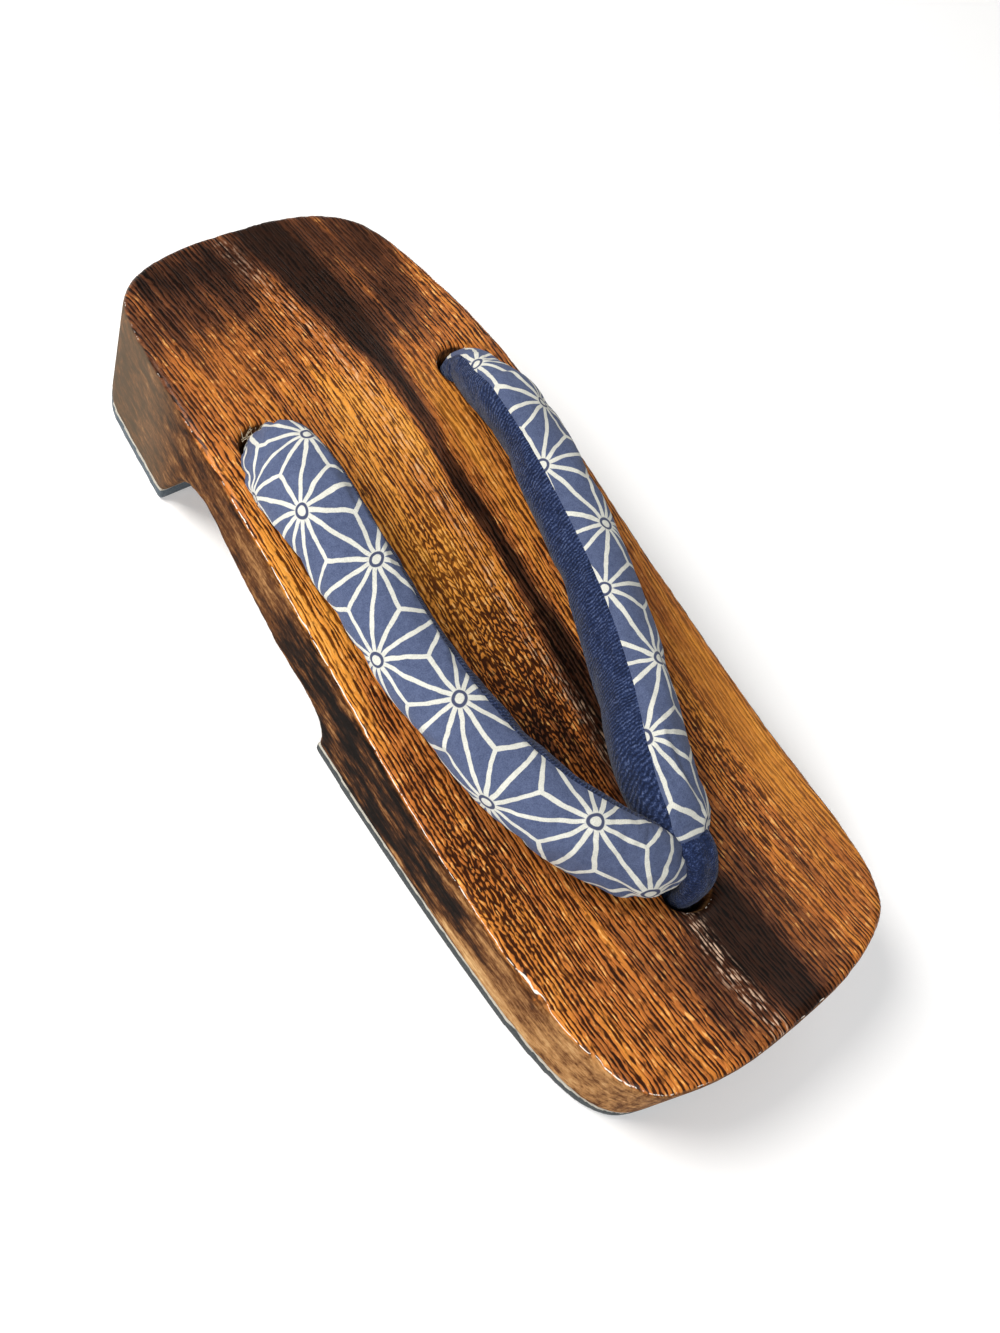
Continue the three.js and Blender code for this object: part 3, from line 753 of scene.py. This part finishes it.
def footbed_height():
    """Reads the height of the footbed at a distance along the board."""
    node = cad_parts["wooden_base"]
    tree = BVHTree.FromObject(node, bpy.context.evaluated_depsgraph_get())
    beside_holes = 0.018
    ends = (TOE_Y + 0.003, HEEL_Y - 0.003)

    def read(y):
        y = min(max(y, ends[0]), ends[1])
        hit = tree.ray_cast(Vector((beside_holes, y, 0.1)), Vector((0, 0, -1)))[0]
        return hit.z

    return read


def make_board(top_at, finish):
    board = merged_copy("wooden_base", "board")
    apply_modifier(board, "REMESH", mode="VOXEL", voxel_size=1.0 * MM)
    apply_modifier(board, "SMOOTH", factor=0.5, iterations=5)
    points = points_of(board)
    normals = np.empty(len(points) * 3)
    board.data.vertices.foreach_get("normal", normals)
    normals = normals.reshape(-1, 3)
    for i, (point, normal) in enumerate(zip(points, normals)):
        if not 0.15 < normal[2] < 0.93 or point[2] < top_at(point[1]) - 0.004:
            continue
        wobble = noise.noise(Vector(point) * 300) + 0.6 * noise.noise(Vector(point) * 900)
        depth = max(wobble, 0.0) * 0.22
        if point[0] < 0:
            for along, reach, chip in CHIPS:
                away = (point[1] / MM - along) / reach
                depth += chip * math.exp(-away * away)
        points[i] = point - normal * depth * MM
    set_points(board, points)
    smooth_shaded(board)
    board.data.materials.append(finish)
    hand_over(board, "wood", "wooden_base")


def make_sole(node, name, slot, finish):
    sole = merged_copy(node, name)
    apply_modifier(sole, "REMESH", mode="VOXEL", voxel_size=0.8 * MM)
    apply_modifier(sole, "SMOOTH", factor=0.5, iterations=2)
    smooth_shaded(sole, 40)
    sole.data.materials.append(finish)
    hand_over(sole, slot, node)


# ---- tubes ----
def closed_tube(name, rings, laid=None):
    """A tube through rings of points, both ends closed; laid gives one flat place per ring corner."""
    bpy.ops.mesh.primitive_cylinder_add(
        vertices=len(rings[0]), radius=0.01, depth=0.1, end_fill_type="NOTHING"
    )
    piece = bpy.context.object
    piece.name = name
    count = len(rings[0])
    points = [tuple(p) for ring in rings for p in ring]
    faces, corners = [], []
    for k in range(len(rings) - 1):
        for i in range(count):
            j = (i + 1) % count
            faces.append((k * count + i, k * count + j, (k + 1) * count + j, (k + 1) * count + i))
            if laid:
                corners.extend((laid[k][i], laid[k][i + 1], laid[k + 1][i + 1], laid[k + 1][i]))
    for k in (0, len(rings) - 1):
        middle = len(points)
        points.append(tuple(sum(rings[k], Vector()) / count))
        for i in range(count):
            faces.append((k * count + (i + 1) % count, k * count + i, middle))
            if laid:
                corners.extend((laid[k][i + 1], laid[k][i], laid[k][i]))
    piece.data.clear_geometry()
    piece.data.from_pydata(points, [], faces)
    if laid:
        sheet = piece.data.uv_layers.new(name="cloth")
        sheet.data.foreach_set("uv", [value for corner in corners for value in corner])
    piece.location = (0, 0, 0)
    select_only(piece)
    bpy.ops.object.mode_set(mode="EDIT")
    bpy.ops.mesh.select_all(action="SELECT")
    bpy.ops.mesh.normals_make_consistent(inside=False)
    bpy.ops.object.mode_set(mode="OBJECT")
    return piece


def catmull(rows, t):
    """Smooth reading of rows at t, counted in rows."""
    last = len(rows) - 1
    i = min(int(t), last - 1)
    f = t - i
    a, b, c, d = (np.array(rows[min(max(k, 0), last)], float) for k in (i - 1, i, i + 1, i + 2))
    return 0.5 * (2 * b + (c - a) * f + (2 * a - 5 * b + 4 * c - d) * f**2 + (3 * b - a - 3 * c + d) * f**3)


def joined(first, *others):
    select_only(first)
    for other in others:
        other.select_set(True)
    bpy.ops.object.join()
    return first


# ---- strap ----
ARM_RINGS = 176
ARM_ROUND = 56
HEM = 0.9
SEAM_DEPTH = 0.40
HEM_DEPTH = 0.30
SLACK_DEPTH = 0.20
CREASE_BANKS = 0.35
# how far the cloth may settle from where it is laid out
SETTLE = 0.5
# the padding lies this far clear of the board, and goes down a rear hole within the first reach
BOARD_GAP = 0.15
HOLE_NARROW = 5.6
HOLE_WIDE = 6.4
SQUEEZE = 0.02
# the first star of each arm: along, and round from the middle of the print
LEFT_STAR = (34.4, 2.4)
RIGHT_STAR = (30.1, -4.4)
KNOT_HEIGHT = 23.0
KNOT_REACH = 4.6
KNOT_RISE = 1.9
KNOT_CORD = 2.3
NECK_FOOT = 24.0
NECK_DROP = 3.5
NECK_RADIUS = 4.3

# how the print lies: along the arm, then its shift along and round, in millimetres
LEFT_PRINT = (
    (0, 5.5, -3.3), (21, 5.5, -3.3), (35, 1.1, -1.9), (53, -0.3, -0.3), (71, -0.8, 0.7), (89, -1.9, -0.2),
    (109, -0.3, 1.6), (129, 0.4, -0.2), (147, 0.9, 2.4), (160, 0.9, 2.4),
)
RIGHT_PRINT = (
    (0, 8.0, 4.1), (19, 8.0, 4.1), (34, 4.4, 2.3), (50, 0.7, 1.0), (69, 1.1, -1.5), (84, -2.2, 1.4),
    (104, -1.0, -3.3), (122, -2.0, -2.2), (142, 0.6, 1.6), (160, 0.6, 1.6),
)
# soft creases: along, round from the middle of the print, half length, half width, turn, depth;
# a negative depth is a ridge
LEFT_CREASES = (
    (11.0, -3.0, 7.0, 1.2, 6, 0.55), (10.0, 2.0, 6.0, 1.0, -4, 0.45), (12.0, 7.5, 7.0, 1.3, -12, 0.55),
    (9.0, -8.0, 5.0, 1.1, 14, 0.5), (19.0, 11.0, 8.0, 1.6, -8, 0.4), (30.0, -12.0, 12.0, 1.8, 6, 0.22),
    (146.0, 7.0, 9.0, 1.2, 24, 0.65), (150.0, 2.5, 7.0, 1.0, 12, 0.5), (149.0, 11.0, 8.0, 1.3, 34, 0.75),
    (151.0, -4.0, 6.0, 1.1, -10, 0.45), (138.0, 12.5, 10.0, 1.6, 16, 0.4),
    (124.0, -10.0, 9.0, 2.0, -14, -0.22),
    (96.0, 10.5, 14.0, 2.2, 5, 0.2), (63.0, 11.0, 10.0, 2.0, -7, 0.18),
)
RIGHT_CREASES = (
    (11.0, -6.0, 7.0, 1.2, -8, 0.5), (10.0, 0.0, 6.0, 1.0, 5, 0.45), (12.0, 6.0, 6.0, 1.3, 12, 0.5),
    (17.0, -12.5, 9.0, 1.5, 5, 0.4), (112.0, -17.0, 12.0, 1.7, 12, 0.5),
    (121.0, -13.0, 12.0, 1.5, 10, -0.45),
    (132.0, -8.0, 9.0, 1.3, 20, 0.55), (139.0, -2.5, 7.0, 1.1, 16, 0.5), (141.0, 5.0, 6.0, 1.1, -12, 0.55),
    (136.0, 10.0, 8.0, 1.4, -20, 0.45), (92.0, -19.0, 13.0, 2.2, -5, 0.25),
    (60.0, -18.5, 15.0, 2.4, 4, 0.25),
)


def arm_sections(table, side, top_at):
    """Centre, printed side, seam side and half sizes of each ring, in metres."""
    def centre(t):
        row = catmull(table, t)
        return Vector((side * row[0], row[1], top_at(row[1] * MM) / MM + row[2])) * MM
    last = len(table) - 1
    found = []
    for k in range(ARM_RINGS + 1):
        t = last * k / ARM_RINGS
        run = (centre(min(t + 0.05, last)) - centre(max(t - 0.05, 0))).normalized()
        out = run.cross(UP).normalized()
        if out.x * side < 0:
            out.negate()
        lift = out.cross(run)
        if lift.z < 0:
            lift.negate()
        row = catmull(table, t)
        lean = math.radians(row[5])
        face = out * math.sin(lean) + lift * math.cos(lean)
        edge = lift * math.sin(lean) - out * math.cos(lean)
        found.append((centre(t), face, edge, row[3] * MM, row[4] * MM))
    return found


def crease_depth(creases, along, around):
    depth = 0.0
    for at_along, at_around, half_long, half_wide, turn, deep in creases:
        da, dr = along - at_along, around - at_around
        if abs(da) > 3 * half_long or abs(dr) > 3 * half_long:
            continue
        cos, sin = math.cos(math.radians(turn)), math.sin(math.radians(turn))
        run = (da * cos + dr * sin) / half_long
        off = (dr * cos - da * sin) / half_wide
        banks = CREASE_BANKS * math.exp(-((abs(off) - 2.0) ** 2))
        depth += deep * math.exp(-run * run) * (math.exp(-off * off) - banks)
    return depth


def make_arm(name, table, side, top_at, first_star, print_rows, creases):
    """One padded arm, with the cloth laid out flat as its UV map."""
    rings, laid = [], []
    along = 0.0
    before = None
    print_along, print_u, print_v = zip(*print_rows)
    for centre, face, edge, wide, thick in arm_sections(table, side, top_at):
        if before:
            along += (centre - before).length / MM
        before = centre
        turns = [2 * math.pi * i / ARM_ROUND for i in range(ARM_ROUND)]
        ring = [centre + edge * wide * math.cos(turn) + face * thick * math.sin(turn) for turn in turns]
        girth = [0.0]
        for i in range(ARM_ROUND):
            girth.append(girth[-1] + (ring[(i + 1) % ARM_ROUND] - ring[i]).length / MM)
        middle = girth[ARM_ROUND // 4]
        whole = girth[-1]
        for i, turn in enumerate(turns):
            around = girth[i] - middle
            if around > whole * 0.5:
                around -= whole
            from_seam = min(girth[i], whole - girth[i])
            from_hem = abs(girth[i] - girth[ARM_ROUND // 2])
            depth = SEAM_DEPTH * math.exp(-((from_seam / HEM) ** 2))
            depth += HEM_DEPTH * math.exp(-((from_hem / HEM) ** 2))
            depth += crease_depth(creases, along, around)
            depth += SLACK_DEPTH * noise.noise(Vector((along * 0.09, around * 0.12, side * 5.0)))
            normal = (edge * math.cos(turn) / wide + face * math.sin(turn) / thick).normalized()
            ring[i] = ring[i] - normal * depth * MM
        rings.append(ring)
        shift_u = np.interp(along, print_along, print_u)
        shift_v = np.interp(along, print_along, print_v)
        flat_u = (along - first_star[0] - shift_u) * MM
        laid.append([(flat_u, (g - middle - first_star[1] - shift_v) * MM) for g in girth])
    arm = closed_tube(name, rings, laid)
    for number, polygon in enumerate(arm.data.polygons):
        polygon.material_index = 0 if number % ARM_ROUND < ARM_ROUND // 2 else 1
    return arm


def fill_with_padding(arm):
    """Blows the cloth out against its seams; each point may settle by up to half a millimetre."""
    start = points_of(arm)
    held = arm.vertex_groups.new(name="held")
    ends = [i for i in range(len(start)) if i < 6 * ARM_ROUND or i >= (ARM_RINGS - 8) * ARM_ROUND]
    seams = [i for i in range(ARM_RINGS * ARM_ROUND) if i % (ARM_ROUND // 2) == 0]
    held.add(ends, 1.0, "REPLACE")
    held.add([i for i in seams if i not in set(ends)], 0.85, "REPLACE")
    select_only(arm)
    made = arm.modifiers.new("padding", "CLOTH")
    made.settings.quality = 6
    made.settings.mass = 0.05
    made.settings.vertex_group_mass = "held"
    made.settings.use_pressure = True
    made.settings.uniform_pressure_force = 4.0
    made.settings.shrink_min = -0.03
    made.settings.effector_weights.gravity = 0.0
    made.collision_settings.use_collision = False
    made.point_cache.frame_start = 1
    made.point_cache.frame_end = 20
    for frame_number in range(1, 21):
        bpy.context.scene.frame_set(frame_number)
    bpy.ops.object.modifier_apply(modifier=made.name)
    bpy.context.scene.frame_set(1)
    moved = points_of(arm) - start
    far = np.linalg.norm(moved, axis=1, keepdims=True)
    cap = SETTLE * MM
    set_points(arm, start + moved * (cap * np.tanh(far / cap) / np.maximum(far, 1e-9)))
    arm.vertex_groups.clear()


def rest_on_board(piece, top_at):
    """Padding that would dip into the board outside the rear holes is squeezed flat on it."""
    points = points_of(piece)
    for i, (x, y, z) in enumerate(points):
        floor = top_at(y) + BOARD_GAP * MM
        off_hole = math.hypot(abs(x) - REAR_HOLE.x, y - REAR_HOLE.y)
        if off_hole > HOLE_WIDE * MM and z < floor:
            points[i][2] = floor + (z - floor) * SQUEEZE
        elif off_hole > HOLE_NARROW * MM and z < floor:
            pull = HOLE_NARROW * MM / off_hole
            points[i][0] = math.copysign(REAR_HOLE.x + (abs(x) - REAR_HOLE.x) * pull, x)
            points[i][1] = REAR_HOLE.y + (y - REAR_HOLE.y) * pull
    set_points(piece, points)


def make_strap(top_at, cotton, lining, cord):
    left = make_arm("left_arm", LEFT_ARM, -1, top_at, LEFT_STAR, LEFT_PRINT, LEFT_CREASES)
    right = make_arm("right_arm", RIGHT_ARM, 1, top_at, RIGHT_STAR, RIGHT_PRINT, RIGHT_CREASES)
    for arm in (left, right):
        arm.data.materials.append(cotton)
        arm.data.materials.append(lining)
        fill_with_padding(arm)
        rest_on_board(arm, top_at)
    strap = joined(left, right)
    strap.name = "strap_padding"
    apply_modifier(strap, "SUBSURF", levels=1, render_levels=1)
    smooth_shaded(strap)
    hand_over(strap, "strap_cloth", "strap")

    tied = []
    for side in (-1, 1):
        foot = Vector((side * REAR_HOLE.x, REAR_HOLE.y, KNOT_HEIGHT * MM))
        tied.append(make_knot("rear_knot", foot, KNOT_REACH * MM, KNOT_RISE * MM, KNOT_CORD * MM))
        top = top_at(REAR_HOLE.y) - NECK_DROP * MM
        tied.append(make_neck("rear_neck", foot, NECK_FOOT * MM, top, NECK_RADIUS * MM))
    cords = joined(*tied)
    cords.name = "rear_cords"
    cords.data.materials.append(cord)
    smooth_shaded(cords)
    hand_over(cords, "strap_cloth")
    return strap


def knot_point(middle, reach, rise, turn):
    """A place on the run of an overhand knot, by its turn in radians."""
    x = (math.sin(turn) + 2 * math.sin(2 * turn)) / 3
    y = (math.cos(turn) - 2 * math.cos(2 * turn)) / 3
    return middle + Vector((x * reach, y * reach, -math.sin(3 * turn) * rise))


def make_knot(name, middle, reach, rise, thick):
    """An overhand knot drawn up tight, as one closed run of cord."""
    rings = []
    count = 72
    for k in range(count + 1):
        t = 2 * math.pi * k / count * 0.985 + 0.05
        here = knot_point(middle, reach, rise, t)
        ahead = knot_point(middle, reach, rise, t + 0.01)
        run = (ahead - knot_point(middle, reach, rise, t - 0.01)).normalized()
        side = run.cross(UP).normalized()
        lift = side.cross(run)
        ring = []
        for i in range(16):
            turn = 2 * math.pi * i / 16
            bulge = thick * (1 + 0.07 * math.cos(3 * (turn + 5 * t)))
            ring.append(here + side * bulge * math.cos(turn) + lift * bulge * math.sin(turn))
        rings.append(ring)
    return closed_tube(name, rings)


def make_neck(name, foot, low, high, thick):
    """Twisted cords going straight up through a hole."""
    rings = []
    for k in range(25):
        z = low + (high - low) * k / 24
        ring = []
        for i in range(24):
            turn = 2 * math.pi * i / 24
            bulge = thick * (0.9 + 0.10 * math.cos(3 * (turn + z / MM * 0.35)))
            ring.append(Vector((foot.x + bulge * math.cos(turn), foot.y + bulge * math.sin(turn), z)))
        rings.append(ring)
    return closed_tube(name, rings)


def make_frayed_ends(top_at, cord):
    """Loose pale threads standing out of the left rear hole."""
    draw = np.random.default_rng(7)
    threads = []
    for number in range(34):
        start = Vector((-34.8 + 7.4 * draw.random(), 58.6 + 2.4 * draw.random(), 0)) * MM
        start.z = top_at(start.y) - 0.8 * MM
        heading = Vector(
            (0.9 * draw.random() - 0.1, 0.35 - 0.9 * draw.random(), 0.5 + 0.7 * draw.random())
        ).normalized()
        bend = Vector((draw.random() - 0.3, draw.random() - 0.6, -1.1 * draw.random()))
        length = (2.4 + 3.0 * draw.random()) * MM
        thick = (0.10 + 0.07 * draw.random()) * MM
        rings = []
        for k in range(9):
            t = k / 8
            here = start + heading * length * t + bend * length * 0.45 * t * t
            here += Vector((math.sin(9 * t + number), math.cos(7 * t + number), 0)) * 0.12 * MM * t
            run = (heading + bend * 0.9 * t).normalized()
            side = run.orthogonal().normalized()
            lift = run.cross(side)
            slim = thick * (1 - 0.6 * t)
            ring = []
            for i in range(5):
                turn = 2 * math.pi * i / 5
                ring.append(here + (side * math.cos(turn) + lift * math.sin(turn)) * slim)
            rings.append(ring)
        threads.append(closed_tube("loose_thread", rings))
    frayed = joined(*threads)
    frayed.name = "frayed_threads"
    frayed.data.materials.append(cord)
    smooth_shaded(frayed)
    hand_over(frayed, "strap_cloth")


# ---- toe loop ----
LOOP_RINGS = 110
LOOP_ROUND = 40


def make_loop(finish):
    last = len(LOOP_LINE) - 1
    rings = []
    for k in range(LOOP_RINGS + 1):
        t = last * k / LOOP_RINGS
        here = catmull(LOOP_LINE, t)
        ahead = catmull(LOOP_LINE, min(t + 0.05, last))
        behind = catmull(LOOP_LINE, max(t - 0.05, 0))
        run = Vector((0, ahead[0] - behind[0], ahead[1] - behind[1])).normalized()
        out = Vector((0, -run.z, run.y))
        ring = []
        for i in range(LOOP_ROUND):
            turn = 2 * math.pi * i / LOOP_ROUND
            cos, sin = math.cos(turn), math.sin(turn)
            x = here[2] * math.copysign(abs(cos) ** 0.85, cos)
            n = here[3] * math.copysign(abs(sin) ** 0.85, sin)
            # a shallow fold runs up the front, and the band is pinched where it turns over
            n -= 0.35 * math.exp(-(((x - 0.7) / 0.9) ** 2)) * max(sin, 0) * (1 if t > 1.5 else 0.4)
            dent = 0.28 * noise.noise(Vector((x * 0.25, t * 0.9, sin * 0.5)))
            point = Vector((x, here[0], here[1])) + out * n
            ring.append((point + (point - Vector((0, here[0], here[1]))).normalized() * dent) * MM)
        rings.append(ring)
    loop = closed_tube("toe_loop_band", rings)
    loop.data.materials.append(finish)
    smooth_shaded(loop)
    hand_over(loop, "velvet", "toe_loop")

    foot = Vector((FRONT_HOLE.x, FRONT_HOLE.y, 8.2 * MM))
    tied = joined(
        make_knot("front_knot", foot, 5.5 * MM, 2.1 * MM, 2.5 * MM),
        make_neck("front_neck", foot, 9.5 * MM, 25.0 * MM, 4.9 * MM),
    )
    tied.name = "front_cords"
    tied.data.materials.append(finish)
    smooth_shaded(tied)
    hand_over(tied, "velvet")


# ---- the whole sandal ----
add_camera()
add_studio()
speckle = fibre_speckle()
grain = wood_grain()
top_at = footbed_height()
make_board(top_at, board_wood(grain, speckle))
# one rubber on both pads: the heel pad's lighter colours are painted light, the forefoot pad's darker
# colours painted shade
make_sole("heel_sole", "heel_rubber_pad", "heel_rubber",
          rubber_skin("heel rubber", speckle, tone(60, 69, 76), tone(96, 106, 114)))
make_sole("forefoot_sole", "forefoot_rubber_pad", "forefoot_rubber",
          rubber_skin("forefoot rubber", speckle, tone(40, 45, 47), tone(70, 76, 78)))
cord = hemp_cord(speckle)
make_strap(top_at, printed_cotton(speckle), ribbed_velvet(speckle), cord)
make_frayed_ends(top_at, cord)
make_loop(plush_velvet(speckle))
